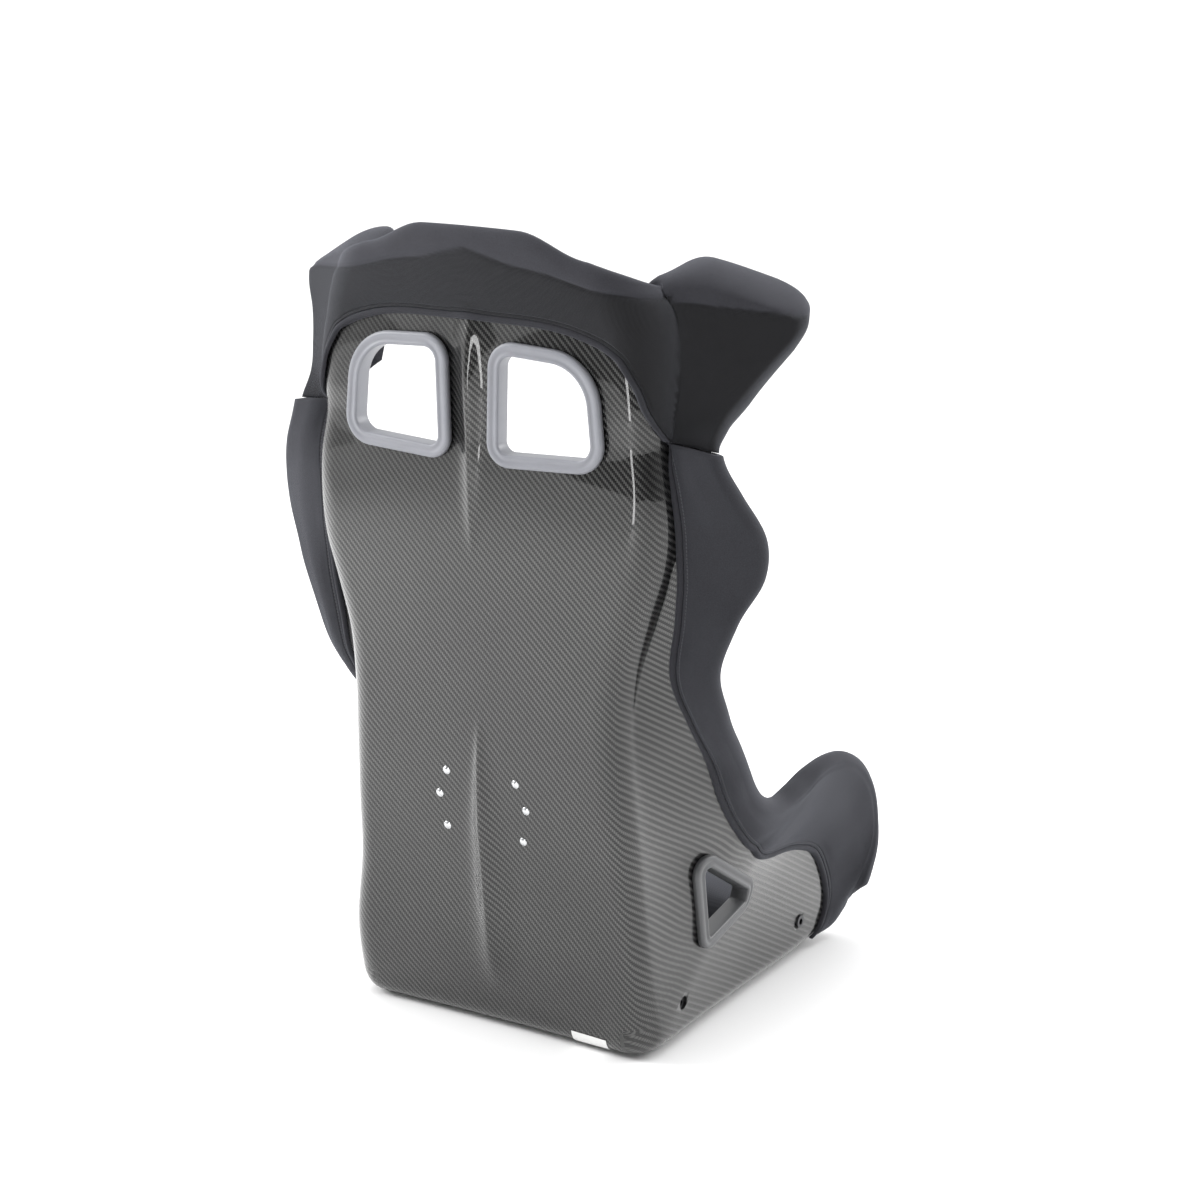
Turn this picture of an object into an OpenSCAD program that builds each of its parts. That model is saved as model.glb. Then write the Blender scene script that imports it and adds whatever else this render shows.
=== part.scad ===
// Competition bucket seat: one-piece carbon shell, padded covers pulled over its rim,
// removable cushions, harness-slot bezels and side-mount inserts. The occupant faces -Y.

/* [Overall] */
// Height of the covered seat above its base
seat_height = 948; // [930:2:970]
// Thickness of the carbon laminate
shell_t = 4; // [3:0.5:5]

/* [Side mounts] */
// Distance between the two threaded inserts on each side
mount_pitch = 290; // [280:5:300]
// Height of the inserts above the base
mount_z = 53; // [50:1:56]
// Radius of the M8 insert bore
mount_bore_r = 4; // [3.9:0.05:4.2]

/* [Covers] */
// Foam and fabric thickness outside the shell, half way up a cover
cover_t = 15; // [10:1:18]
// How far a cover stands past the shell's rim
rim_roll = 15; // [12:1:18]
// Thickness of the fabric at a cover's hem
hem_t = 4; // [3:0.5:5]
// Thickness of a cover inside the shell
lining_t = 6; // [4:0.5:7]
// Foam inside each head wing, past the lining
lobe_fill = 44; // [36:2:48]
// How far the inner side of a head wing's lobe stands above its outer side
lobe_rise = 32; // [20:2:38]

/* [Cushions] */
// Thickness of the head pad at its edge
head_pad_t = 26; // [18:1:32]
// Thickness of the back cushions at their edge
back_pad_t = 16; // [12:1:24]
// Thickness of the seat cushion at its edge
seat_pad_t = 24; // [18:1:34]
// Thickness of the cushion under the thighs at its edge
thigh_pad_t = 44; // [34:1:50]
// Thickness of the side pads at their edge
side_pad_t = 12; // [8:1:16]
// How far the middle of a cushion rises above its edge
crown = 10; // [4:1:14]

/* [Harness slots] */
// Width of a bezel's visible ring
ring_w = 15; // [13:1:16]
// How far a bezel stands off the shell
ring_t = 8; // [6:1:10]
// Length of the crotch-strap slot across the seat
crotch_w = 76; // [60:2:90]
// Width of the crotch-strap slot
crotch_d = 26; // [22:2:30]

/* [Hidden] */
$fn = 40;
left = 1;
right = -1;

// The stations are drawn for a seat 993 high whose mounts straddle y = 19.
k = seat_height / 993;
mid_y = 19;

// Sections from the head edge down the back, round the hips and along the pan:
// [spine y, spine z, half width, corner radius, corner depth, rim x, rim y, rim z, flare]
stations = [
    [292, 972, 206, 52, 22, 334,  138, 893, 1.3],
    [290, 933, 220, 52, 22, 332,  142, 874, 1.3],
    [289, 888, 230, 48, 18, 314,  160, 846, 1.4],
    [290, 838, 236, 44, 14, 292,  190, 808, 1.4],
    [290, 793, 236, 38, 12, 282,  212, 782, 1.4],
    [290, 750, 236, 36, 14, 282,  231, 752, 1.1],
    [292, 703, 242, 36, 12, 303,  222, 702, 1.0],
    [293, 648, 244, 42, 10, 322,  201, 650, 1.0],
    [292, 600, 238, 42,  8, 318,  198, 604, 1.0],
    [289, 548, 222, 40,  6, 292,  212, 550, 1.0],
    [286, 488, 204, 36,  4, 270,  212, 490, 1.0],
    [284, 428, 196, 35,  0, 267,  186, 434, 1.1],
    [281, 353, 197, 34,  0, 258,  130, 364, 1.4],
    [273, 273, 201, 31,  0, 249,   86, 308, 1.8],
    [262, 188, 205, 29, -2, 245,   42, 272, 2.2],
    [258, 103, 214, 32, -6, 243,    0, 258, 2.4],
    [250,  45, 217, 38, -8, 244,  -45, 264, 2.4],
    [241,  10, 218, 40, -3, 244,  -85, 274, 2.4],
    [205,   0, 216, 40,  0, 244, -125, 276, 2.6],
    [ 90,   0, 212, 40,  0, 244, -175, 266, 2.8],
    [-20,   0, 211, 40,  0, 244, -220, 236, 2.8],
    [-110,  0, 211, 40,  0, 243, -248, 196, 2.4],
    [-175,  4, 210, 40,  0, 241, -262, 148, 1.8],
    [-236, 16, 209, 40,  0, 238, -262,  86, 1.4],
];
last = len(stations) - 1;

// Across a section: the flat runs to flat_end, the corner to wall_start, the wall to 1
flat_end = 0.5;
wall_start = 0.62;

function run(a, b) = (norm([b[0] - a[0], b[1] - a[1]])
                      + norm([b[5] - a[5], b[6] - a[6], b[7] - a[7]])) / 2;
knots = [for (i = 0, u = 0; i <= last;
              u = u + (i < last ? run(stations[i], stations[i + 1]) : 0), i = i + 1) u];
slopes = [for (i = [0:last]) let (a = max(i - 1, 0), b = min(i + 1, last))
          (stations[b] - stations[a]) / (knots[b] - knots[a])];

function unit(v) = v / norm(v);
function bump(x, centre, reach) = abs(x - centre) < reach
    ? pow(cos(90 * (x - centre) / reach), 2) : 0;

// Smooth section between the stations; t counts them from the head edge
function section(t) = let (i = min(max(floor(t), 0), last - 1), f = t - i, g = 1 - f,
                           h = knots[i + 1] - knots[i])
    stations[i] * (1 + 2 * f) * g * g + slopes[i] * h * f * g * g
    + stations[i + 1] * f * f * (3 - 2 * f) - slopes[i + 1] * h * f * f * g;

// Stiffening ridges down the middle of the back
function ridge(t, x) = 12 * bump(t, 4.2, 3) * exp(-pow(x / 13, 2))
                     + 14 * bump(t, 13.6, 2.2) * exp(-pow(x / 12, 2));
// The head edge dips beside the head and rises again over the wings
function dip(t, a) = pow(max(0, 1 - t / 3), 2)
                   * (25 * bump(a, 0.5, 0.29) - 8 * bump(a, 0.84, 0.26));

// Point of the outer surface at station t and across-section place s, -1 to 1
function surf(t, s) = let (v = section(t), a = abs(s), w = v[2], r = v[3], bow = v[4],
        z0 = max(0, v[1]), dy = v[6] - v[0], dz = v[7] - z0, deep = norm([dy, dz]),
        q = a <= flat_end ? let (x = (w - r) * a / flat_end)
                [x, bow * pow(x / w, 2) - ridge(t, x)]
          : a <= wall_start ? let (g = 90 * (a - flat_end) / (wall_start - flat_end),
                                   x = w - r + r * sin(g))
                [x, r * (1 - cos(g)) + bow * pow(x / w, 2)]
          : let (g = (a - wall_start) / (1 - wall_start))
                [w + (v[5] - w) * pow(g, v[8]), r + bow + (deep - r - bow) * g])
    k * [sign(s) * q[0], v[0] + dy / deep * q[1] - mid_y,
         z0 + dz / deep * q[1] - dip(t, a)];

eps = 0.02;
function outward(t, s) = unit(cross(surf(t, s + eps) - surf(t, s - eps),
                                    surf(t + eps, s) - surf(t - eps, s)));
// Point d outside the shell's outer surface, or inside it where d is negative
function off(t, s, d) = surf(t, s) + outward(t, s) * d;
function span(a, b, n) = [for (i = [0:n]) a + (b - a) * i / n];

// Closed solid between two grids of points with the same rows and columns
module skin(a, b) {
    rows = len(a);
    cols = len(a[0]);
    n = rows * cols;
    function id(i, j, side) = side * n + i * cols + j;
    polyhedron(
        points = concat([for (row = a) each row], [for (row = b) each row]),
        faces = concat(
            [for (i = [0:rows - 2], j = [0:cols - 2])
                each [[id(i, j, 0), id(i, j + 1, 0), id(i + 1, j + 1, 0)],
                      [id(i, j, 0), id(i + 1, j + 1, 0), id(i + 1, j, 0)],
                      [id(i, j, 1), id(i + 1, j + 1, 1), id(i, j + 1, 1)],
                      [id(i, j, 1), id(i + 1, j, 1), id(i + 1, j + 1, 1)]]],
            [for (i = [0:rows - 2])
                each [[id(i, 0, 0), id(i + 1, 0, 0), id(i + 1, 0, 1)],
                      [id(i, 0, 0), id(i + 1, 0, 1), id(i, 0, 1)],
                      [id(i, cols - 1, 0), id(i + 1, cols - 1, 1), id(i + 1, cols - 1, 0)],
                      [id(i, cols - 1, 0), id(i, cols - 1, 1), id(i + 1, cols - 1, 1)]]],
            [for (j = [0:cols - 2])
                each [[id(0, j, 0), id(0, j + 1, 1), id(0, j + 1, 0)],
                      [id(0, j, 0), id(0, j, 1), id(0, j + 1, 1)],
                      [id(rows - 1, j, 0), id(rows - 1, j + 1, 0), id(rows - 1, j + 1, 1)],
                      [id(rows - 1, j, 0), id(rows - 1, j + 1, 1), id(rows - 1, j, 1)]]]),
        convexity = 8);
}

// Patch of the seat between two depths inside the shell, with a crowned inner face
module patch(ts, ss, depth, thick, rise = 0) {
    function fall(i, n) = 1 - pow(abs(2 * i / (n - 1) - 1), 3);
    skin([for (t = ts) [for (s = ss) off(t, s, -depth)]],
         [for (i = [0:len(ts) - 1]) [for (j = [0:len(ss) - 1])
             off(ts[i], ss[j], -depth - thick
                 - rise * fall(i, len(ts)) * fall(j, len(ss)))]]);
}

// ---- Cover paths: [rim t, rim s, hem t, hem s, fullness], top centre to front foot
head_path = [
    [0, 0, 1.90, 0], [0, 0.14, 1.90, 0.12], [0, 0.28, 1.90, 0.24], [0, 0.40, 1.94, 0.33],
    [0, 0.47, 2.00, 0.376], [0, 0.50, 2.04, 0.395], [0, 0.525, 2.065, 0.411],
    [0, 0.55, 2.095, 0.426], [0, 0.575, 2.13, 0.44], [0, 0.60, 2.17, 0.454],
    [0, 0.625, 2.21, 0.467], [0, 0.65, 2.25, 0.475], [0, 0.68, 2.29, 0.485],
    [0, 0.72, 2.345, 0.494], [0, 0.76, 2.40, 0.502], [0, 0.82, 2.48, 0.509],
    [0, 0.88, 2.56, 0.516], [0, 1, 2.75, 0.523],
    [0.6, 1, 2.90, 0.530], [1.3, 1, 3.08, 0.537], [2, 1, 3.30, 0.545],
    [2.5, 1, 3.52, 0.551], [3, 1, 3.75, 0.557], [3.5, 1, 4.02, 0.570, 0.8],
    [4, 1, 4.30, 0.585, 0.58], [4.5, 1, 4.53, 0.600, 0.5], [4.95, 1, 4.72, 0.614, 0.5],
];
side_path = [
    [5.0, 1, 4.75, 0.615], [5.5, 1, 5.35, 0.640], [6, 1, 6.0, 0.655],
    [6.5, 1, 6.5, 0.655], [7, 1, 7.0, 0.655], [7.5, 1, 7.5, 0.665], [8, 1, 8.0, 0.685],
    [8.5, 1, 8.5, 0.715], [9, 1, 9.0, 0.76], [9.5, 1, 9.5, 0.79], [10, 1, 10, 0.82],
    [10.5, 1, 10.4, 0.845], [11, 1, 10.9, 0.88], [11.5, 1, 11.45, 0.91],
    [12, 1, 12.0, 0.93], [12.5, 1, 12.6, 0.938], [13, 1, 13.3, 0.94],
    [13.5, 1, 14.0, 0.937], [14, 1, 14.8, 0.93], [14.5, 1, 15.5, 0.915],
    [15, 1, 16.2, 0.90], [15.5, 1, 16.8, 0.885], [16, 1, 17.4, 0.875],
    [17, 1, 18.3, 0.865], [18, 1, 19.0, 0.860], [19, 1, 19.6, 0.855],
    [19.6, 1, 19.95, 0.85], [20.2, 1, 20.3, 0.84], [20.8, 1, 20.7, 0.82],
    [21.4, 1, 21.0, 0.80], [22, 1, 21.3, 0.78], [22.5, 1, 21.5, 0.76],
    [23, 1, 21.7, 0.74], [23, 0.92, 21.9, 0.70], [23, 0.83, 22.0, 0.665, 0.95],
    [23, 0.74, 22.0, 0.635, 0.9], [23, 0.66, 22.0, 0.61, 0.85], [23, 0.60, 22.0, 0.575, 0.7],
];

// Outward direction along the surface, past the rim of path row p
function past_rim(p) = let (f = 0.06) unit(surf(p[0], p[1])
    - surf(p[0] + (p[2] - p[0]) * f, p[1] + (p[3] - p[1]) * f));
// Point on row p, f of the way from the hem to the rim, d outside the shell
function on_row(p, f, d) = off(p[2] + (p[0] - p[2]) * f, p[3] + (p[1] - p[3]) * f, d);
outer_leg = [for (i = [0:8]) pow(i / 8, 1.5)];
// Thickness of a cover outside the shell, f of the way up from the hem
function puff(f, t) = hem_t + (t - hem_t) * sin(90 * min(1, 1.6 * f));
function full(p) = len(p) > 4 ? p[4] : 1;
slot = 2.2;
function gap(f) = slot + 2.6 * min(1, 12 * f);
function ease(x) = let (y = min(1, max(0, x))) y * y * (3 - 2 * y);
// How much of the wing's lobe row p carries
function lobe(p) = ease((abs(p[1]) - 0.46) / 0.34) * min(1, max(0, (4.8 - p[0]) / 2.2));
roll_turn = [30, 60, 90, 120, 150];

// Cover folded over the rim: outer leg, roll and inner leg; fill is the foam in a wing's lobe
module folded_cover(path, thick, roll, fill = 0, rise = 0) {
    function inner(p) = -shell_t - slot - lining_t - fill * lobe(p);
    function inner_leg(p) = [for (i = [0:3]) 0.98 - (0.48 + (fill > 0 ? 0.1 * lobe(p) : 0)) * i / 3];
    skin([for (p = path) let (rim = surf(p[0], p[1]), n = outward(p[0], p[1]),
                              e = past_rim(p) * roll * full(p),
                              t = hem_t + (thick - hem_t) * full(p),
                              mid = (t + inner(p)) / 2, half = (t - inner(p)) / 2,
                              up = rise * pow(lobe(p), 3) * max(0, 1 - p[0] / 1.6))
             concat([for (f = outer_leg) on_row(p, f, puff(f, t))],
                    [for (g = roll_turn) rim + n * (mid + half * cos(g)) + e * sin(g)
                                         + [0, 0, up * (1 - cos(g)) / 2]],
                    [for (f = inner_leg(p)) on_row(p, f, inner(p))
                                            + [0, 0, up * ease(4 * (f - 0.74))]])],
         [for (p = path) let (rim = surf(p[0], p[1]), n = outward(p[0], p[1]),
                              e = past_rim(p) * gap(1))
             concat([for (f = outer_leg) on_row(p, f, gap(f))],
                    [for (g = roll_turn) rim + n * (gap(1) + shell_t / 2) * cos(g)
                                         - n * shell_t / 2 + e * sin(g)],
                    [for (f = inner_leg(p)) on_row(p, f, -shell_t - gap(f))])]);
}

// Elastic binding that follows a hem, just clear of the cover's edge
binding_w = 4;
module binding(path) {
    function at(p, w, d) = let (away = unit(on_row(p, 0, 0) - on_row(p, 0.08, 0)))
        on_row(p, 0, d) + away * w;
    skin([for (p = path) [for (q = [[0.5, hem_t + 0.8], [0.5 + binding_w / 2, hem_t + 2],
                                    [0.5 + binding_w, hem_t + 1.8]]) at(p, q[0], q[1])]],
         [for (p = path) [for (q = [[0.5, slot + 1], [0.5 + binding_w / 2, slot + 1.8],
                                    [0.5 + binding_w, slot + 2.6]]) at(p, q[0], q[1])]]);
}

function flip(p) = [p[0], -p[1], p[2], -p[3]];
function back_to_front(path) = [for (i = [len(path) - 1:-1:0]) path[i]];
full_head_path = concat([for (p = back_to_front(head_path)) if (p[1] > 0) flip(p)],
                        head_path);

module head_cover() color([0.12, 0.12, 0.14]) 
    folded_cover(full_head_path, 10, rim_roll + 3, lobe_fill, lobe_rise);
module head_hem() color([0.08, 0.08, 0.09]) binding(full_head_path);
module side_cover(side) color([0.15, 0.15, 0.17]) {
    if (side > 0) folded_cover(side_path, cover_t, rim_roll);
    else mirror([1, 0, 0]) folded_cover(side_path, cover_t, rim_roll);
}
module side_hem(side) color([0.08, 0.08, 0.09]) {
    if (side > 0) binding(side_path);
    else mirror([1, 0, 0]) binding(side_path);
}

// ---- Harness slots: corners [across, up, radius] of each bezel's outer edge
shoulder_ring = [[25, 718, 28], [181, 724, 34], [168, 858, 66], [29, 866, 32]];
lap_ring = [[150, 252, 24], [140, 106, 20], [28, 132, 20], [18, 166, 22]];
shoulder_mid = [105, 790];
lap_mid = [84, 170];

// Polygon with round corners, shrunk inwards by inset
function edge_line(c, i, inset) = let (a = [c[i][0], c[i][1]] * k,
        m = (i + 1) % len(c), b = [c[m][0], c[m][1]] * k, d = unit(b - a))
    [a + [-d[1], d[0]] * inset * turn(c), d];
function turn(c) = sign(cross([c[1][0] - c[0][0], c[1][1] - c[0][1]],
                              [c[2][0] - c[1][0], c[2][1] - c[1][1]]));
function meet(l, m) = let (w = m[0] - l[0])
    l[0] + l[1] * cross(w, m[1]) / cross(l[1], m[1]);
function rounded(c, mid, inset) = let (n = len(c),
        lines = [for (i = [0:n - 1]) edge_line(c, i, inset)],
        v = [for (i = [0:n - 1]) meet(lines[(i + n - 1) % n], lines[i])])
    [for (i = [0:n - 1]) let (r = max(3, c[i][2] * k - inset), q = v[i],
            u = unit(v[(i + n - 1) % n] - q), w = unit(v[(i + 1) % n] - q),
            half = acos(u * w) / 2, cc = q + unit(u + w) * r / sin(half),
            from = q + u * r / tan(half) - cc, to = q + w * r / tan(half) - cc,
            a0 = atan2(from[1], from[0]), a1 = atan2(to[1], to[0]),
            da = ((a1 - a0 + 540) % 360) - 180)
        for (g = [0:7]) cc + r * [cos(a0 + da * g / 7), sin(a0 + da * g / 7)] - mid * k];

sleeve_t = 3;
fit_gap = 0.5;
module ring(c, mid, outer, inner, low, high) translate([0, 0, low])
    linear_extrude(high - low) difference() {
        polygon(rounded(c, mid, outer));
        polygon(rounded(c, mid, inner));
    }
module slot_cut(c, mid) translate([0, 0, -40]) linear_extrude(80)
    polygon(rounded(c, mid, ring_w - sleeve_t - fit_gap));

// Local z of each frame points out of the shell
shoulder_tilt = 2.5;
lap_tilt = 0.3;
lap_yaw = 2.5;
lap_low = 5.4;
module on_shoulder(side) scale([side, 1, 1])
    translate([k * shoulder_mid[0], surf(4, 0.28)[1] + 0.5, k * shoulder_mid[1]])
        rotate([90, 0, 180 - shoulder_tilt]) mirror([1, 0, 0]) children();
module on_flank(side) scale([side, 1, 1])
    translate([k * 219.8, k * (lap_mid[0] - mid_y), k * lap_mid[1]])
        rotate([90, 0, 90]) rotate([-lap_tilt, lap_yaw, 0]) children();

module shoulder_bezel(side) color([0.55, 0.56, 0.58]) on_shoulder(side) {
    ring(shoulder_ring, shoulder_mid, 0, ring_w, 1, ring_t);
    ring(shoulder_ring, shoulder_mid, ring_w - sleeve_t, ring_w, -13, 1);
}
module shoulder_liner(side) color([0.2, 0.2, 0.21]) on_shoulder(side)
    ring(shoulder_ring, shoulder_mid, 4, ring_w - sleeve_t - fit_gap, -12, -8);
module lap_bezel(side) color([0.3, 0.3, 0.31]) on_flank(side) {
    ring(lap_ring, lap_mid, 0, ring_w, lap_low, lap_low + ring_t / 2);
    ring(lap_ring, lap_mid, ring_w - sleeve_t, ring_w, -15, lap_low);
}
module lap_liner(side) color([0.15, 0.15, 0.16]) on_flank(side)
    ring(lap_ring, lap_mid, 4, ring_w - sleeve_t - fit_gap, -14, -10);

// Crotch-strap slot between the seat and thigh cushions
crotch_y = -92 * k;
module stadium(w, d) union() {
    square([w - d, d], center = true);
    for (x = [-1, 1]) translate([x * (w - d) / 2, 0]) circle(d = d);
}
crotch_rim = 8;
module crotch_bezel() color([0.2, 0.2, 0.21]) translate([0, crotch_y, 0]) {
    translate([0, 0, shell_t + 0.3]) linear_extrude(3) difference() {
        stadium(crotch_w + 2 * crotch_rim, crotch_d + 2 * crotch_rim);
        stadium(crotch_w, crotch_d);
    }
    translate([0, 0, 0.3]) linear_extrude(shell_t) difference() {
        stadium(crotch_w + 2 * sleeve_t, crotch_d + 2 * sleeve_t);
        stadium(crotch_w, crotch_d);
    }
}

// ---- Side mounts
insert_r = 8;
insert_face = 204;
plate_x = 190;
plate_t = 3;
plate_h = 36;
insert_head_r = 14;
module at_mount(side, end) translate([side * insert_face, end * mount_pitch / 2, mount_z])
    rotate([0, -90 * side, 0]) children();
module mount_insert(side, end) color("silver") at_mount(side, end) difference() {
    union() {
        cylinder(r = insert_r, h = insert_face - plate_x + 3);
        translate([0, 0, insert_face - plate_x + 0.2]) cylinder(r = insert_head_r, h = 3);
    }
    translate([0, 0, -1]) cylinder(r = mount_bore_r, h = 40);
}
module mount_plate(side) color("gainsboro") scale([side, 1, 1]) difference() {
    translate([plate_x, -mount_pitch / 2 - 22, mount_z - plate_h / 2])
        cube([plate_t, mount_pitch + 44, plate_h]);
    for (end = [-1, 1]) translate([plate_x - 1, end * mount_pitch / 2, mount_z])
        rotate([0, 90, 0]) cylinder(r = insert_r + 0.2, h = plate_t + 2);
}

// ---- Rear-brace rivets and the plates that they hold, by [t, s]
rivet_places = [[12.25, 0.150], [12.65, 0.185], [13.15, 0.160]];
rivet_r = 2.4;
rivet_head_r = 5;
brace_t = 2;
module facing_out(t, s) {
    n = outward(t, s);
    translate(surf(t, s)) rotate([0, acos(n[2]), atan2(n[1], n[0])]) children();
}
module brace_rivets() color("gainsboro") for (side = [left, right], p = rivet_places)
    facing_out(p[0], side * p[1]) {
        translate([0, 0, 0.1]) intersection() {
            translate([0, 0, 2 - rivet_head_r * 1.6]) sphere(r = rivet_head_r * 1.6);
            cylinder(r = rivet_head_r, h = 3);
        }
        translate([0, 0, -shell_t - brace_t - 0.6])
            cylinder(r = rivet_r, h = shell_t + brace_t + 0.8);
    }
module brace_plate(side) color("silver") difference() {
    patch(span(12, 13.4, 3), side > 0 ? span(0.10, 0.23, 2) : span(-0.23, -0.10, 2),
          shell_t + 0.3, brace_t);
    for (p = rivet_places) facing_out(p[0], side * p[1])
        translate([0, 0, -20]) cylinder(r = rivet_r + 0.2, h = 40);
}

// ---- Shell: a row of sections, cut for the slots, the inserts and the rivets
half_columns = [0.03, 0.07, 0.15, 0.24, 0.32, 0.39, 0.45, 0.5, 0.53, 0.56, 0.59, 0.62,
                0.68, 0.76, 0.84, 0.92, 1];
shell_columns = concat([for (i = [len(half_columns) - 1:-1:0]) -half_columns[i]], [0],
                       half_columns);
module clearance(r, h) hull() translate([0, 0, -h / 2]) cylinder(r = r, h = h, $fn = 24);
module shell() color([0.07, 0.07, 0.08]) difference() {
    skin([for (t = span(0, last, 2 * last)) [for (s = shell_columns) surf(t, s)]],
         [for (t = span(0, last, 2 * last)) [for (s = shell_columns) off(t, s, -shell_t)]]);
    for (side = [left, right]) {
        on_shoulder(side) slot_cut(shoulder_ring, shoulder_mid);
        on_flank(side) slot_cut(lap_ring, lap_mid);
        for (end = [-1, 1]) at_mount(side, end) clearance(insert_r + 0.3, 40);
        for (p = rivet_places) facing_out(p[0], side * p[1]) clearance(rivet_r + 0.2, 20);
    }
    translate([0, crotch_y, -1]) linear_extrude(shell_t + 2)
        stadium(crotch_w + 2 * sleeve_t + fit_gap, crotch_d + 2 * sleeve_t + fit_gap);
}

// ---- Pads and cushions
pad_depth = shell_t + 3;
bolster_depth = shell_t + slot + lining_t + 0.6;
module side_patch(side, ts, s0, s1, thick, rise) color([0.13, 0.13, 0.15])
    patch(ts, side > 0 ? span(s0, s1, 6) : span(-s1, -s0, 6), bolster_depth, thick, rise);
module head_pad() color([0.16, 0.16, 0.19])
    patch(span(0.12, 2.3, 8), span(-0.38, 0.38, 12), bolster_depth + 2, head_pad_t, crown);
module shoulder_pad(side) side_patch(side, span(5.2, 10.6, 11), 0.63, 0.94, side_pad_t, 6);
module hip_pad(side) side_patch(side, span(19, 22, 9), 0.78, 0.94, side_pad_t, crown);
module back_cushion(t0, t1, thick) color([0.14, 0.14, 0.16])
    patch(span(t0, t1, 8), span(-0.44, 0.44, 12), pad_depth, thick, crown);
module upper_back_cushion() back_cushion(6.35, 8.9, back_pad_t);
module lumbar_cushion() back_cushion(9.05, 13.4, back_pad_t + 4);
module seat_cushion() color([0.14, 0.14, 0.16])
    patch(span(18.2, 20.2, 6), span(-0.47, 0.47, 12), pad_depth, seat_pad_t, crown);
module thigh_cushion() color([0.14, 0.14, 0.16])
    patch(span(21.15, 22.95, 6), span(-0.47, 0.47, 12), pad_depth, thigh_pad_t, crown);

// Hook-and-loop strips that hold the cushions on the shell
strip_t = 2;
module strip(t0, t1, s0, s1) patch(span(t0, t1, 3), span(s0, s1, 3), shell_t + 0.4, strip_t);
module back_fastener_strips() color("dimgray") {
    for (t = [6.8, 8.3]) strip(t, t + 0.35, -0.36, -0.12);
    for (t = [6.8, 8.3]) strip(t, t + 0.35, 0.12, 0.36);
    for (t = [9.6, 11.2]) strip(t, t + 0.35, -0.36, -0.12);
    for (t = [9.6, 11.2]) strip(t, t + 0.35, 0.12, 0.36);
}
module seat_fastener_strips() color("dimgray") {
    for (s = [-0.36, 0.16]) strip(18.6, 20.1, s, s + 0.2);
    for (s = [-0.36, 0.16]) strip(21.35, 22.4, s, s + 0.2);
}

// Blank label on the rounded lower edge of the back
module label_plate() color("white")
    skin([for (t = span(16.55, 17.15, 3)) [for (s = span(-0.44, -0.30, 2)) off(t, s, 1)]],
         [for (t = span(16.55, 17.15, 3)) [for (s = span(-0.44, -0.30, 2)) off(t, s, 0.5)]]);

shell();
head_cover();
side_cover(left);  // side_cover_left
side_cover(right);  // side_cover_right
head_hem();
side_hem(left);  // side_hem_left
side_hem(right);  // side_hem_right
head_pad();
shoulder_pad(left);  // shoulder_pad_left
shoulder_pad(right);  // shoulder_pad_right
hip_pad(left);  // hip_pad_left
hip_pad(right);  // hip_pad_right
upper_back_cushion();
lumbar_cushion();
seat_cushion();
thigh_cushion();
back_fastener_strips();
seat_fastener_strips();
shoulder_bezel(left);  // shoulder_bezel_left
shoulder_bezel(right);  // shoulder_bezel_right
shoulder_liner(left);  // shoulder_liner_left
shoulder_liner(right);  // shoulder_liner_right
lap_bezel(left);  // lap_bezel_left
lap_bezel(right);  // lap_bezel_right
lap_liner(left);  // lap_liner_left
lap_liner(right);  // lap_liner_right
crotch_bezel();
mount_plate(left);  // mount_plate_left
mount_plate(right);  // mount_plate_right
mount_insert(left, 1);  // mount_insert_rear_left
mount_insert(left, -1);  // mount_insert_front_left
mount_insert(right, 1);  // mount_insert_rear_right
mount_insert(right, -1);  // mount_insert_front_right
brace_plate(left);  // brace_plate_left
brace_plate(right);  // brace_plate_right
brace_rivets();
label_plate();
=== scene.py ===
import math

import bmesh
import bpy
import numpy as np
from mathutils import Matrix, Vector


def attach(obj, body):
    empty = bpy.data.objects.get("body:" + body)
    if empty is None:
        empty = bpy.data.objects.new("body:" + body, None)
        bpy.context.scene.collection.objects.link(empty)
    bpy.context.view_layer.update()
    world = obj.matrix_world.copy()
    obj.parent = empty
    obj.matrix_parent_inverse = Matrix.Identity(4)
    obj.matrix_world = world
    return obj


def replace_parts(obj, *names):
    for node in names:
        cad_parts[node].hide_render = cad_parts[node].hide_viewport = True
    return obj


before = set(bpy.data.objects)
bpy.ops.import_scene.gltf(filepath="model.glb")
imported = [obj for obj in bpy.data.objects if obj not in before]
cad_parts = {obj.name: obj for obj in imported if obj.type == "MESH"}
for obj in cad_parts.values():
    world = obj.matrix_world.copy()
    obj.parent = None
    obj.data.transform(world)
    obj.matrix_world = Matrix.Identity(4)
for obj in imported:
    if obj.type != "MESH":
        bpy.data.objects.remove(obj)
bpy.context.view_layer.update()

# ---------------------------------------------------------------- the seat's surface, in mm
K = 948 / 993
MID_Y = 19.0
SHELL_T = 4.0
SLOT = 2.2
LINING = 6.0
MOUNT_X, MOUNT_Y, MOUNT_Z = 204, 145.0, 53.0
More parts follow.
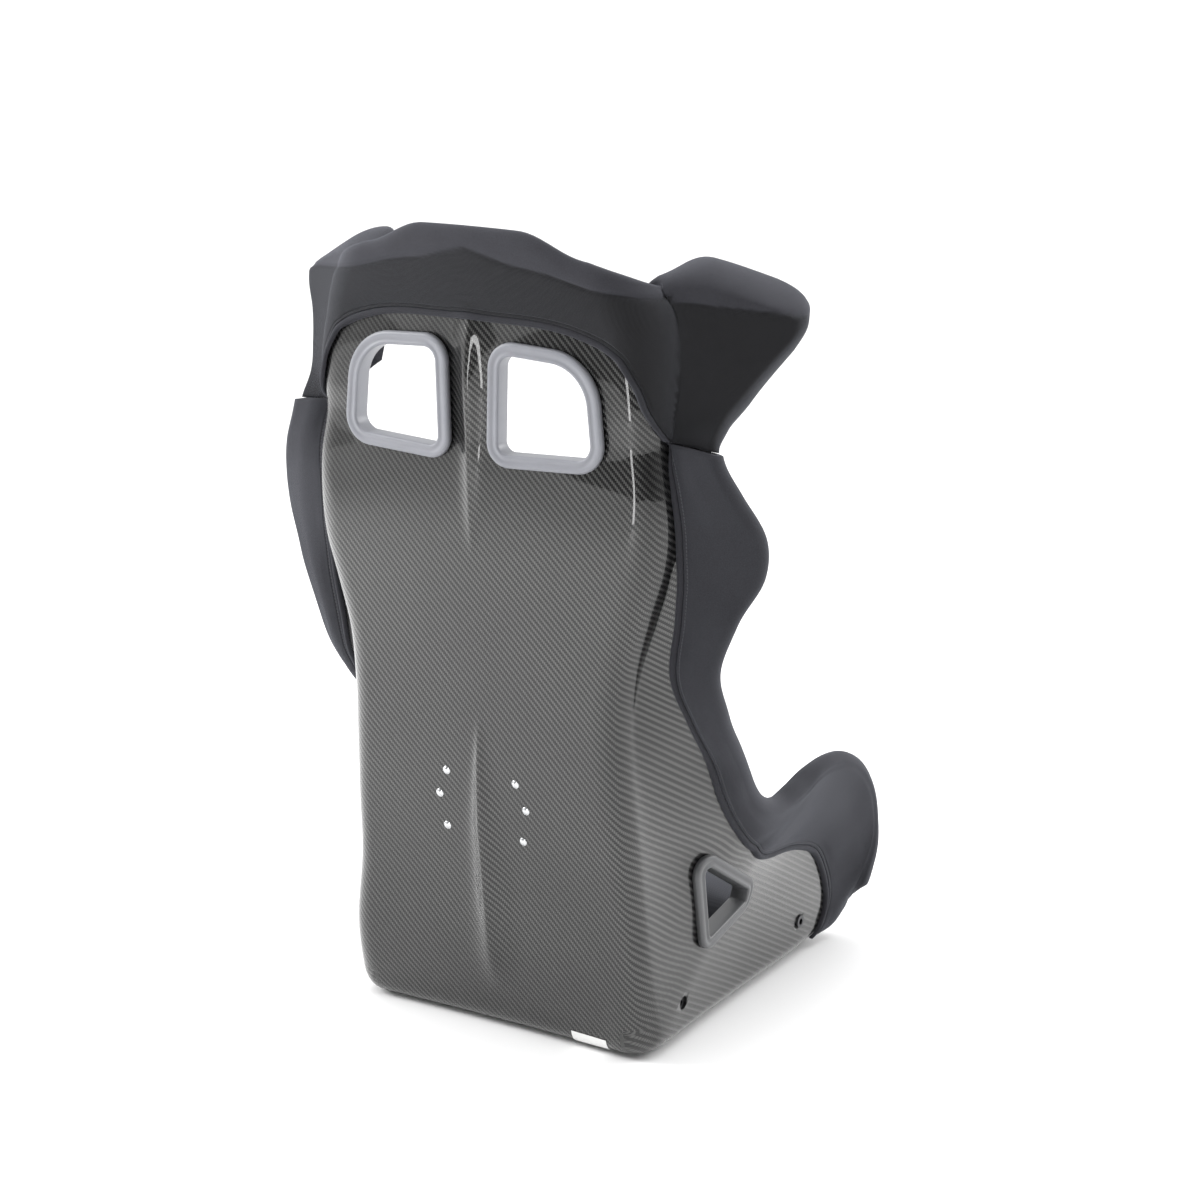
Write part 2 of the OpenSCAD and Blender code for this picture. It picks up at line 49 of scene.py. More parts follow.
# Each row: spine y, z, half width, corner radius, corner depth, rim x, y, z, flare
STATIONS = np.array([
    [292, 972, 206, 52, 22, 334, 138, 893, 1.3],
    [290, 933, 220, 52, 22, 332, 142, 874, 1.3],
    [289, 888, 230, 48, 18, 314, 160, 846, 1.4],
    [290, 838, 236, 44, 14, 292, 190, 808, 1.4],
    [290, 793, 236, 38, 12, 282, 212, 782, 1.4],
    [290, 750, 236, 36, 14, 282, 231, 752, 1.1],
    [292, 703, 242, 36, 12, 303, 222, 702, 1.0],
    [293, 648, 244, 42, 10, 322, 201, 650, 1.0],
    [292, 600, 238, 42, 8, 318, 198, 604, 1.0],
    [289, 548, 222, 40, 6, 292, 212, 550, 1.0],
    [286, 488, 204, 36, 4, 270, 212, 490, 1.0],
    [284, 428, 196, 35, 0, 267, 186, 434, 1.1],
    [281, 353, 197, 34, 0, 258, 130, 364, 1.4],
    [273, 273, 201, 31, 0, 249, 86, 308, 1.8],
    [262, 188, 205, 29, -2, 245, 42, 272, 2.2],
    [258, 103, 214, 32, -6, 243, 0, 258, 2.4],
    [250, 45, 217, 38, -8, 244, -45, 264, 2.4],
    [241, 10, 218, 40, -3, 244, -85, 274, 2.4],
    [205, 0, 216, 40, 0, 244, -125, 276, 2.6],
    [90, 0, 212, 40, 0, 244, -175, 266, 2.8],
    [-20, 0, 211, 40, 0, 244, -220, 236, 2.8],
    [-110, 0, 211, 40, 0, 243, -248, 196, 2.4],
    [-175, 4, 210, 40, 0, 241, -262, 148, 1.8],
    [-236, 16, 209, 40, 0, 238, -262, 86, 1.4]], float)
LAST = len(STATIONS) - 1
_run = (np.linalg.norm(np.diff(STATIONS[:, 0:2], axis=0), axis=1)
        + np.linalg.norm(np.diff(STATIONS[:, 5:8], axis=0), axis=1)) / 2
KNOTS = np.concatenate([[0], np.cumsum(_run)])
_lo = np.maximum(np.arange(LAST + 1) - 1, 0)
_hi = np.minimum(np.arange(LAST + 1) + 1, LAST)
SLOPES = (STATIONS[_hi] - STATIONS[_lo]) / (KNOTS[_hi] - KNOTS[_lo])[:, None]


def unit(v):
    return v / np.linalg.norm(v, axis=-1, keepdims=True)


def smoothstep(x):
    return x * x * (3 - 2 * x)


def bump(x, centre, reach):
    x = np.abs(np.asarray(x, float) - centre) / reach
    return np.where(x < 1, np.cos(np.pi / 2 * np.minimum(x, 1)) ** 2, 0)


def section(t):
    """The station's nine values at place t, by cubic Hermite steps between the rows"""
    i = np.clip(np.floor(t).astype(int), 0, LAST - 1)
    f = (t - i)[..., None]
    g = 1 - f
    h = (KNOTS[i + 1] - KNOTS[i])[..., None]
    return (STATIONS[i] * (1 + 2 * f) * g * g + SLOPES[i] * h * f * g * g
            + STATIONS[i + 1] * f * f * (3 - 2 * f) - SLOPES[i + 1] * h * f * f * g)


def tent(x, width):
    """Ridge with a soft crest and flanks that run out flat"""
    return np.exp(-(np.abs(x) / width) ** 1.6)


def ridge(t, x):
    upper = np.interp(t, [-1, 1.5, 4, 6.5, 7.6], [17, 17, 14, 8, 4])
    high = np.interp(t, [-1, 1.6, 2.6, 3.6, 5.5, 7.0, 7.8], [0, 0, 9, 12, 8, 3, 0])
    lower = np.interp(t, [11.3, 12, 13, 14.3, 15.4], [3, 7, 13, 17, 19])
    deep = np.interp(t, [11.3, 12, 13, 14, 15, 15.8], [0, 6, 13, 15, 8, 0])
    return high * tent(x, upper) + deep * tent(x, lower)


def dip(t, a):
    """How far the head edge sinks between its middle and the wings"""
    return np.maximum(0, 1 - t / 3) ** 2 * (25 * bump(a, 0.5, 0.29) - 8 * bump(a, 0.84, 0.26))


def surf(t, s):
    """Outer surface at station t and across-section place s, in mm of the real seat"""
    t, s = np.broadcast_arrays(np.asarray(t, float), np.asarray(s, float))
    v = section(t)
    a = np.abs(s)
    w, r, bow = v[..., 2], v[..., 3], v[..., 4]
    z0 = np.maximum(0, v[..., 1])
    dy, dz = v[..., 6] - v[..., 0], v[..., 7] - z0
    deep = np.hypot(dy, dz)
    x1 = (w - r) * a / 0.5
    g2 = np.pi / 2 * (a - 0.5) / 0.12
    x2 = w - r + r * np.sin(g2)
    g3 = np.maximum((a - 0.62) / 0.38, 0)
    x3 = w + (v[..., 5] - w) * g3 ** v[..., 8]
    x = np.where(a <= 0.5, x1, np.where(a <= 0.62, x2, x3))
    q = np.where(a <= 0.5, bow * (x1 / w) ** 2 - ridge(t, x1),
                 np.where(a <= 0.62, r * (1 - np.cos(g2)) + bow * (x2 / w) ** 2,
                          r + bow + (deep - r - bow) * g3))
    return K * np.stack([np.sign(s) * x, v[..., 0] + dy / deep * q - MID_Y,
                         z0 + dz / deep * q - dip(t, a)], -1)


def outward(t, s, eps=0.02):
    return unit(np.cross(surf(t, s + eps) - surf(t, s - eps),
                         surf(t + eps, s) - surf(t - eps, s)))


def off(t, s, d):
    """Point d mm outside the surface"""
    t, s = np.broadcast_arrays(np.asarray(t, float), np.asarray(s, float))
    return surf(t, s) + outward(t, s) * np.asarray(d, float)[..., None]


# ---------------------------------------------------------------- mesh helpers
def add_object(name, verts, faces, material, uvs=None, smooth=True):
    """Object from points in mm; uvs holds one (u, v) in metres for each face corner"""
    mesh = bpy.data.meshes.new(name)
    mesh.from_pydata((np.asarray(verts) / 1000).tolist(), [], faces)
    if uvs is not None:
        mesh.uv_layers.new(name="weave").data.foreach_set("uv", np.asarray(uvs, np.float32).ravel())
    mesh.polygons.foreach_set("use_smooth", [smooth] * len(mesh.polygons))
    obj = bpy.data.objects.new(name, mesh)
    bpy.context.scene.collection.objects.link(obj)
    obj.data.materials.append(material)
    return obj


def closed_skin(a, b, uv=None):
    """Points, faces and corner uvs of the closed solid between two grids of points"""
    rows, cols = a.shape[:2]
    n = rows * cols
    ids = np.arange(n).reshape(rows, cols)
    q = np.stack([ids[:-1, :-1], ids[:-1, 1:], ids[1:, 1:], ids[1:, :-1]], -1).reshape(-1, 4)
    back = (q + n)[:, ::-1]
    edge = np.concatenate([ids[:, 0][::-1], ids[0, 1:], ids[1:, -1], ids[-1, -2:0:-1]])
    nxt = np.roll(edge, -1)
    rim = np.stack([nxt, edge, edge + n, nxt + n], -1)
    faces = np.concatenate([q, back, rim])
    if uv is not None:
        flat = uv.reshape(-1, 2)
        uv = np.concatenate([flat, flat])[faces.ravel()]
    return np.concatenate([a.reshape(-1, 3), b.reshape(-1, 3)]), faces.tolist(), uv


def recalc(obj):
    bm = bmesh.new()
    bm.from_mesh(obj.data)
    bmesh.ops.recalc_face_normals(bm, faces=bm.faces)
    bm.to_mesh(obj.data)
    bm.free()


def apply_modifiers(obj):
    bpy.context.view_layer.objects.active = obj
    for o in bpy.context.selected_objects:
        o.select_set(False)
    obj.select_set(True)
    bpy.ops.object.convert(target="MESH")


def set_attribute(obj, name, values):
    layer = obj.data.attributes.new(name, "FLOAT", "POINT")
    layer.data.foreach_set("value", np.asarray(values, np.float32))


def spline(points, per_row):
    """Finer rows through the given ones, by Catmull-Rom"""
    p = np.asarray(points, float)
    padded = np.concatenate([[2 * p[0] - p[1]], p, [2 * p[-1] - p[-2]]])
    u = np.arange(0, len(p) - 1 + 1e-9, 1 / per_row)
    i = np.minimum(u.astype(int), len(p) - 2)
    f = (u - i)[:, None]
    a, b, c, d = (padded[i + j] for j in range(4))
    return 0.5 * (2 * b + (c - a) * f + (2 * a - 5 * b + 4 * c - d) * f ** 2
                  + (3 * b - a - 3 * c + d) * f ** 3)


# ---------------------------------------------------------------- materials
class Nodes:
    """Short names for building one material"""

    def __init__(self, name, **sockets):
        self.material = bpy.data.materials.new(name)
        self.material.use_nodes = True
        self.tree = self.material.node_tree
        self.shader = self.tree.nodes["Principled BSDF"]
        for key, value in sockets.items():
            self.shader.inputs[key.replace("_", " ")].default_value = value

    def add(self, kind, *inputs, **settings):
        made = self.tree.nodes.new("ShaderNode" + kind)
        for key, value in settings.items():
            setattr(made, key, value)
        for i, value in enumerate(inputs):
            self.put(made.inputs[i], value)
        return made

    def put(self, socket, value):
        if value is None:
            return
        if isinstance(value, bpy.types.NodeSocket):
            self.tree.links.new(value, socket)
        else:
            socket.default_value = value

    def math(self, operation, a, b=None, c=None, clamp=False):
        return self.add("Math", a, b, c, operation=operation, use_clamp=clamp).outputs[0]

    def mix(self, factor, a, b):
        made = self.add("Mix", data_type="RGBA")
        self.put(made.inputs[0], factor)
        self.put(made.inputs[6], a)
        self.put(made.inputs[7], b)
        return made.outputs[2]

    def blend(self, factor, a, b):
        made = self.add("Mix", data_type="FLOAT")
        self.put(made.inputs[0], factor)
        self.put(made.inputs[2], a)
        self.put(made.inputs[3], b)
        return made.outputs[0]

    def noise(self, vector, scale, detail=3.0, roughness=0.55):
        made = self.add("TexNoise")
        self.put(made.inputs["Vector"], vector)
        made.inputs["Scale"].default_value = scale
        made.inputs["Detail"].default_value = detail
        made.inputs["Roughness"].default_value = roughness
        return made.outputs["Fac"]

    def bump(self, height, distance, strength=1.0, normal=None):
        made = self.add("Bump")
        made.inputs["Strength"].default_value = strength
        made.inputs["Distance"].default_value = distance
        self.put(made.inputs["Height"], height)
        self.put(made.inputs["Normal"], normal)
        return made.outputs[0]

    def place(self):
        return self.add("TexCoord").outputs["Object"]

    def uv(self):
        split = self.add("SeparateXYZ", self.add("UVMap", uv_map="weave").outputs[0])
        return split.outputs[0], split.outputs[1]

    def finish(self, colour=None, roughness=None, normal=None):
        self.put(self.shader.inputs["Base Color"], colour)
        self.put(self.shader.inputs["Roughness"], roughness)
        self.put(self.shader.inputs["Normal"], normal)
        return self.material


def carbon_material():
    """Clear-coated 2x2 twill: tows of 2 mm, over two and under two; the warp tows carry a painted
    highlight and every tow a painted shade towards its edges
    """
    m = Nodes("carbon_twill", Metallic=0.85, Coat_Weight=1.0, Coat_Roughness=0.035, Coat_IOR=1.5)
    u, v = m.uv()
    tow = 0.00205
    u, v = m.math("DIVIDE", u, tow), m.math("DIVIDE", v, tow)
    cell = m.math("ADD", m.math("FLOOR", u), m.math("FLOOR", v))
    step = m.math("FLOORED_MODULO", cell, 4.0)
    warp = m.math("LESS_THAN", step, 1.5)
    fu, fv = m.math("FRACT", u), m.math("FRACT", v)
    across = m.blend(warp, fv, fu)
    along = m.math("DIVIDE", m.blend(warp, m.math("ADD", m.math("SUBTRACT", step, 2.0), fu),
                                     m.math("ADD", step, fv)), 2.0)

    def arch(x):
        y = m.math("MULTIPLY_ADD", x, 2.0, -1.0)
        return m.math("SUBTRACT", 1.0, m.math("MULTIPLY", y, y))
    height = m.math("MULTIPLY", arch(across), m.math("POWER", arch(along), 0.5))
    fibres = m.noise(m.add("CombineXYZ", m.math("MULTIPLY", across, 9.0),
                           m.math("MULTIPLY", along, 0.6), cell).outputs[0], 1.0, 2.0)
    drift = m.noise(m.place(), 9.0, 2.0)
    # Painted highlight: warp tows are painted much lighter than weft tows, standing in for the sheen
    # of the fibres; fibre and drift noise then add random tone
    painted_light_and_grain = m.blend(warp, 0.04, 0.5)
    painted_light_and_grain = m.math("MULTIPLY", painted_light_and_grain, m.blend(fibres, 0.7, 1.3))
    painted_light_and_grain = m.math("MULTIPLY", painted_light_and_grain, m.blend(drift, 0.75, 1.25))
    # Painted shade: each tow is darkened towards its edges and ends, following its arch height
    painted_light_and_grain = m.math("MULTIPLY", painted_light_and_grain, m.blend(height, 0.35, 1.0))
    colour = m.mix(painted_light_and_grain, (0.0025, 0.0025, 0.003, 1), (0.165, 0.165, 0.16, 1))
    rough = m.blend(warp, 0.40, 0.28)
    return m.finish(colour, rough, m.bump(height, 0.00035, 0.55))


def fabric_material(name, colour, sheen, mesh_share=None, stitch_at=None):
    """Brushed knit, or an open mesh where the mesh attribute says so"""
    m = Nodes(name, Sheen_Weight=sheen, Sheen_Roughness=0.45, Specular_IOR_Level=0.25)
    m.shader.inputs["Sheen Tint"].default_value = (0.75, 0.78, 0.9, 1)
    place = m.place()
    u, v = m.uv()
    rib = 0.00095
    knit = m.math("MULTIPLY", m.math("SINE", m.math("MULTIPLY", u, math.tau / rib)),
                  m.math("SINE", m.math("MULTIPLY", v, math.tau / rib)))
    nap = m.noise(place, 900.0, 2.0, 0.7)
    cloud = m.noise(place, 22.0, 3.0)
    height = m.math("ADD", m.math("MULTIPLY", knit, 0.25), nap)
    lit = m.mix(cloud, [c * 0.72 for c in colour[:3]] + [1], [c * 1.28 for c in colour[:3]] + [1])
    lit = m.mix(m.math("MULTIPLY", nap, 0.35), lit, (0.10, 0.10, 0.12, 1))
    depth = height
    if mesh_share is not None:
        share = m.add("Attribute", attribute_name="mesh").outputs["Fac"]
        pitch = 0.0026
        p = m.math("DIVIDE", m.math("ADD", u, v), pitch)
        q = m.math("DIVIDE", m.math("SUBTRACT", u, v), pitch)
        hole = m.math("MULTIPLY", m.math("SINE", m.math("MULTIPLY", p, math.tau)),
                      m.math("SINE", m.math("MULTIPLY", q, math.tau)))
        hole = m.math("MULTIPLY_ADD", hole, 1.6, 0.35, clamp=True)
        # Painted shade: the holes of the mesh are painted near black, much darker than the cloth, as
        # the shade inside them
        net = m.mix(hole, (0.0035, 0.0035, 0.004, 1), (0.030, 0.030, 0.033, 1))
        lit = m.mix(share, lit, net)
        depth = m.blend(share, height, m.math("MULTIPLY", hole, 2.2))
    if stitch_at is not None:
        near = m.math("LESS_THAN", m.math("ABSOLUTE", m.math("SUBTRACT", v, stitch_at)), 0.0006)
        dash = m.math("LESS_THAN", m.math("FRACT", m.math("DIVIDE", u, 0.0042)), 0.68)
        thread = m.math("MULTIPLY", near, dash)
        lit = m.mix(thread, lit, (0.075, 0.075, 0.082, 1))
        depth = m.math("ADD", depth, m.math("MULTIPLY", thread, 1.5))
    return m.finish(lit, 0.9, m.bump(depth, 0.0003, 0.6))


def solid_fabric(name, colour, pitch=0.0022, sheen=0.35):
    """Knit for simulated pads, whose meshes carry no uvs"""
    m = Nodes(name, Sheen_Weight=sheen, Sheen_Roughness=0.5, Specular_IOR_Level=0.2)
    m.shader.inputs["Sheen Tint"].default_value = (0.75, 0.78, 0.9, 1)
    place = m.place()
    split = m.add("SeparateXYZ", place)
    wave = [m.math("SINE", m.math("MULTIPLY", split.outputs[i], math.tau / pitch)) for i in range(3)]
    net = m.math("ADD", m.math("MULTIPLY", wave[0], wave[2]), m.math("MULTIPLY", wave[1], 0.5))
    nap = m.noise(place, 700.0, 2.0, 0.7)
    cloud = m.noise(place, 18.0, 3.0)
    lit = m.mix(cloud, [c * 0.7 for c in colour] + [1], [c * 1.3 for c in colour] + [1])
    lit = m.mix(m.math("MULTIPLY_ADD", net, 0.25, 0.2, clamp=True), lit, (0.004, 0.004, 0.005, 1))
    height = m.math("ADD", nap, m.math("MULTIPLY", net, 0.4))
    return m.finish(lit, 0.92, m.bump(height, 0.0003, 0.6))


def plastic_material(name, colour, rough, grain=1.0, wear=0.0):
    m = Nodes(name, Specular_IOR_Level=0.5)
    place = m.place()
    fine = m.noise(place, 1600.0, 2.0)
    cloud = m.noise(place, 35.0, 4.0)
    lit = m.mix(cloud, [c * 0.9 for c in colour] + [1], [c * 1.1 for c in colour] + [1])
    if wear:
        scuff = m.noise(m.add("Mapping", place, None, None, (1, 1, 9)).outputs[0], 240.0, 5.0, 0.7)
        lit = m.mix(m.math("MULTIPLY_ADD", scuff, 4.0, -2.5, clamp=True), lit,
                    [min(1, c * (1 + wear)) for c in colour] + [1])
    return m.finish(lit, m.blend(cloud, rough * 0.85, rough * 1.15),
                    m.bump(fine, 0.00008 * grain, 0.5))


def metal_material(name, colour, rough, brushed=True):
    m = Nodes(name, Metallic=1.0)
    place = m.place()
    scale = (1, 1, 40) if brushed else (1, 1, 1)
    lines = m.noise(m.add("Mapping", place, None, None, scale).outputs[0], 300.0, 4.0)
    cloud = m.noise(place, 60.0, 3.0)
    lit = m.mix(cloud, [c * 0.85 for c in colour] + [1], [min(1, c * 1.1) for c in colour] + [1])
    return m.finish(lit, m.blend(lines, rough * 0.7, rough * 1.3), m.bump(lines, 0.00004, 0.4))


def tape_material():
    m = Nodes("hook_tape", Specular_IOR_Level=0.2)
    place = m.place()
    cell = m.add("TexVoronoi")
    m.put(cell.inputs["Vector"], place)
    cell.inputs["Scale"].default_value = 700.0
    lit = m.mix(cell.outputs["Distance"], (0.09, 0.09, 0.09, 1), (0.02, 0.02, 0.02, 1))
    return m.finish(lit, 0.85, m.bump(cell.outputs["Distance"], 0.0005, 1.0))


CARBON = carbon_material()
HEAD_FABRIC = fabric_material("head_fabric", (0.026, 0.026, 0.030), 0.20, mesh_share=True)
SIDE_FABRIC = fabric_material("side_fabric", (0.018, 0.0185, 0.021), 0.16, stitch_at=0.0035)
BINDING = fabric_material("binding_fabric", (0.013, 0.013, 0.015), 0.14)
PAD_FABRIC = solid_fabric("pad_fabric", (0.035, 0.036, 0.041))
CUSHION_FABRIC = solid_fabric("cushion_fabric", (0.045, 0.046, 0.052), 0.003)
GREY_PLASTIC = plastic_material("grey_plastic", (0.235, 0.24, 0.265), 0.42, 1.0, 0.25)
DARK_PLASTIC = plastic_material("dark_grey_plastic", (0.10, 0.102, 0.106), 0.38, 1.0, 0.2)
BLACK_PLASTIC = plastic_material("black_plastic", (0.012, 0.012, 0.013), 0.5)
LABEL_FILM = plastic_material("label_film", (0.86, 0.86, 0.85), 0.35, 0.5)
RIVET_METAL = metal_material("rivet_metal", (0.62, 0.63, 0.64), 0.28, False)
PLATE_METAL = metal_material("plate_metal", (0.60, 0.61, 0.62), 0.4)
INSERT_METAL = metal_material("insert_metal", (0.10, 0.10, 0.105), 0.45)
TAPE = tape_material()

for node, material in [("brace_rivets", RIVET_METAL), ("label_plate", LABEL_FILM),
                       ("crotch_bezel", BLACK_PLASTIC), ("back_fastener_strips", TAPE),
                       ("seat_fastener_strips", TAPE)]:
    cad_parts[node].data.materials.clear()
    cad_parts[node].data.materials.append(material)
for side in ("left", "right"):
    for node, material in [("shoulder_liner_", BLACK_PLASTIC), ("lap_liner_", BLACK_PLASTIC),
                           ("mount_plate_", PLATE_METAL), ("brace_plate_", PLATE_METAL),
                           ("mount_insert_rear_", INSERT_METAL),
                           ("mount_insert_front_", INSERT_METAL)]:
        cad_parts[node + side].data.materials.clear()
        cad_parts[node + side].data.materials.append(material)


# ---------------------------------------------------------------- harness-slot bezels
SHOULDER_RING = [(25, 718, 28), (181, 724, 34), (168, 858, 66), (29, 866, 32)]
LAP_RING = [(150, 252, 24), (140, 106, 20), (28, 132, 20), (18, 166, 22)]
SHOULDER_MID, LAP_MID = (105, 790), (84, 170)
RING_W, RING_T = 15.0, 8.0
SLEEVE_W = 3
CUT_GAP = 0.5
SHOULDER_TURN = math.radians(177.5)
SHOULDER_PLANE = surf(4.0, 0.28)[1] + 0.5


def rounded(corners, mid, inset, per=14):
    """Polygon with round corners, shrunk inwards by inset, about mid"""
    c = np.array([x[:2] for x in corners], float) * K
    turn = np.sign(np.cross(c[1] - c[0], c[2] - c[1]))
    n = len(c)
    lines = []
    for i in range(n):
        d = c[(i + 1) % n] - c[i]
        d /= np.linalg.norm(d)
        lines.append((c[i] + np.array([-d[1], d[0]]) * inset * turn, d))
    v = []
    for i in range(n):
        (p, d), (q, e) = lines[i - 1], lines[i]
        v.append(p + d * np.cross(q - p, e) / np.cross(d, e))
    out = []
    for i in range(n):
        r = max(3.0, corners[i][2] * K - inset)
        a, b = v[i - 1] - v[i], v[(i + 1) % n] - v[i]
        a, b = a / np.linalg.norm(a), b / np.linalg.norm(b)
        half = math.acos(a @ b) / 2
        m = (a + b) / np.linalg.norm(a + b)
        cc = v[i] + m * r / math.sin(half)
        f, g = v[i] + a * r / math.tan(half) - cc, v[i] + b * r / math.tan(half) - cc
        a0, a1 = math.atan2(f[1], f[0]), math.atan2(g[1], g[0])
        da = (a1 - a0 + 3 * math.pi) % math.tau - math.pi
        for j in range(per + 1):
            h = a0 + da * j / per
            out.append(cc + r * np.array([math.cos(h), math.sin(h)]) - np.array(mid) * K)
    return np.array(out)


def on_shoulder(side, p):
    """Flat frame on the back, turned a little outwards"""
    a, b, c = p[..., 0], p[..., 1], p[..., 2]
    cos, sin = math.cos(SHOULDER_TURN), math.sin(SHOULDER_TURN)
    x = -a * cos + c * sin + K * SHOULDER_MID[0]
    y = -a * sin - c * cos + SHOULDER_PLANE
    return np.stack([side * x, y, b + K * SHOULDER_MID[1]], -1)


def cubic_terms(y, z):
    """Terms of a cubic in y and z about the lap slot's middle"""
    y, z = (y - 65) / 60, (z - 160) / 60
    return np.stack([1 + 0 * y, y, z, y * y, y * z, z * z, y ** 3, y * y * z, y * z * z, z ** 3], -1)


def fit_flank():
    """Cubic that gives the flank's x round the lap slot from y and z"""
    t, s = np.meshgrid(np.linspace(12, 18, 90), np.linspace(0.56, 0.99, 50), indexing="ij")
    p = surf(t, s).reshape(-1, 3)
    p = p[(p[:, 1] > -25) & (p[:, 1] < 150) & (p[:, 2] > 80) & (p[:, 2] < 250)]
    return np.linalg.lstsq(cubic_terms(p[:, 1], p[:, 2]), p[:, 0], rcond=None)[0]


FLANK = fit_flank()


def on_flank(side, p):
    """Frame whose height follows the bulge of the flank"""
    y = p[..., 0] + K * (LAP_MID[0] - MID_Y)
    z = p[..., 1] + K * LAP_MID[1]
    return np.stack([side * (cubic_terms(y, z) @ FLANK + p[..., 2]), y, z], -1)


def ring_piece(name, corners, mid, place, side, profile, material):
    """Ring whose closed cross-section is (inset, height) pairs"""
    loops = np.array([[(*q, h) for q in rounded(corners, mid, inset)] for inset, h in profile])
    pts = place(side, loops)
    rows, cols = loops.shape[:2]
    faces = [(i * cols + j, i * cols + (j + 1) % cols,
              (i + 1) % rows * cols + (j + 1) % cols, (i + 1) % rows * cols + j)
             for i in range(rows) for j in range(cols)]
    obj = add_object(name, pts.reshape(-1, 3), faces, material)
    recalc(obj)
    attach(obj, "seat_shell")
    return obj


def arc(cx, cy, r, a0, a1, n=5):
    return [(cx + r * math.cos(math.radians(a0 + (a1 - a0) * i / n)),
             cy + r * math.sin(math.radians(a0 + (a1 - a0) * i / n))) for i in range(n + 1)]


def bezel_profile(top, sleeve, lip=0.6):
    """Outer edge, rolled crest, shallow channel, rolled inner lip and sleeve"""
    return ([(0.0, 0.6), (0.0, top - 3.4)] + arc(3.2, top - 3.2, 3.2, 180, 90)
            + [(6.2, top), (7.0, top - lip), (10.6, top - lip), (11.4, top)]
            + arc(12.6, top - 2.4, 2.4, 90, 0) + [(15.0, -sleeve + 1), (14.5, -sleeve),
                                                  (12.0, -sleeve), (12.0, 0.6)])


for side, word in ((1, "left"), (-1, "right")):
    bezel = ring_piece("bezel_shoulder_" + word, SHOULDER_RING, SHOULDER_MID, on_shoulder, side,
                       bezel_profile(RING_T, 13), GREY_PLASTIC)
    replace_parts(bezel, "shoulder_bezel_" + word)
    bezel = ring_piece("bezel_lap_" + word, LAP_RING, LAP_MID, on_flank, side,
                       bezel_profile(RING_T, 15), DARK_PLASTIC)
    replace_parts(bezel, "lap_bezel_" + word)


# ---------------------------------------------------------------- carbon shell
INSERT_CUT_R = 8.3
CROTCH_CUT = (82.5, 32.5)
CROTCH_Y = 92 * K
WEAVE_SHEAR = 0.43
PAN_START = 16.0


def prism(loop, place, side, low, high):
    """Closed cutter between two heights over a loop"""
    pts = np.concatenate([place(side, np.column_stack([loop, np.full(len(loop), h)]))
                          for h in (low, high)])
    n = len(loop)
    faces = [tuple(range(n))[::-1], tuple(range(n, 2 * n))]
    faces += [(i, (i + 1) % n, (i + 1) % n + n, i + n) for i in range(n)]
    obj = add_object("cut", pts, faces, CARBON, smooth=False)
    recalc(obj)
    return obj


def circle(r, n=32):
    a = np.linspace(0, math.tau, n, endpoint=False)
    return np.column_stack([r * np.cos(a), r * np.sin(a)])


def stadium(w, d, n=12):
    a = np.linspace(-math.pi / 2, math.pi / 2, n)
    right = np.column_stack([(w - d) / 2 + d / 2 * np.cos(a), d / 2 * np.sin(a)])
    return np.concatenate([right, -right])


def cut_holes(obj):
    """Belt slots, mount bores and crotch slot"""
    cutters = []
    for side in (1, -1):
        hole = RING_W - SLEEVE_W - CUT_GAP
        cutters.append(prism(rounded(SHOULDER_RING, SHOULDER_MID, hole), on_shoulder, side,
                             -40, 40))
        cutters.append(prism(rounded(LAP_RING, LAP_MID, hole), on_flank, side, -40, 40))
        for end in (1, -1):
            def at_mount(sign, p, e=end):
                return np.stack([sign * (MOUNT_X + p[..., 2]), p[..., 0] + e * MOUNT_Y,
                                 p[..., 1] + MOUNT_Z], -1)
            cutters.append(prism(circle(INSERT_CUT_R), at_mount, side, -20, 20))
    cutters.append(prism(stadium(*CROTCH_CUT),
                         lambda s, p: np.stack([p[..., 0], p[..., 1] - CROTCH_Y, p[..., 2]], -1),
                         1, -5, 12))
    group = bpy.data.collections.new("cutters")
    for c in cutters:
        group.objects.link(c)
    mod = obj.modifiers.new("holes", "BOOLEAN")
    mod.operation, mod.solver = "DIFFERENCE", "EXACT"
    mod.operand_type, mod.collection = "COLLECTION", group
    apply_modifiers(obj)
    for c in cutters:
        bpy.data.objects.remove(c)
    bpy.data.collections.remove(group)


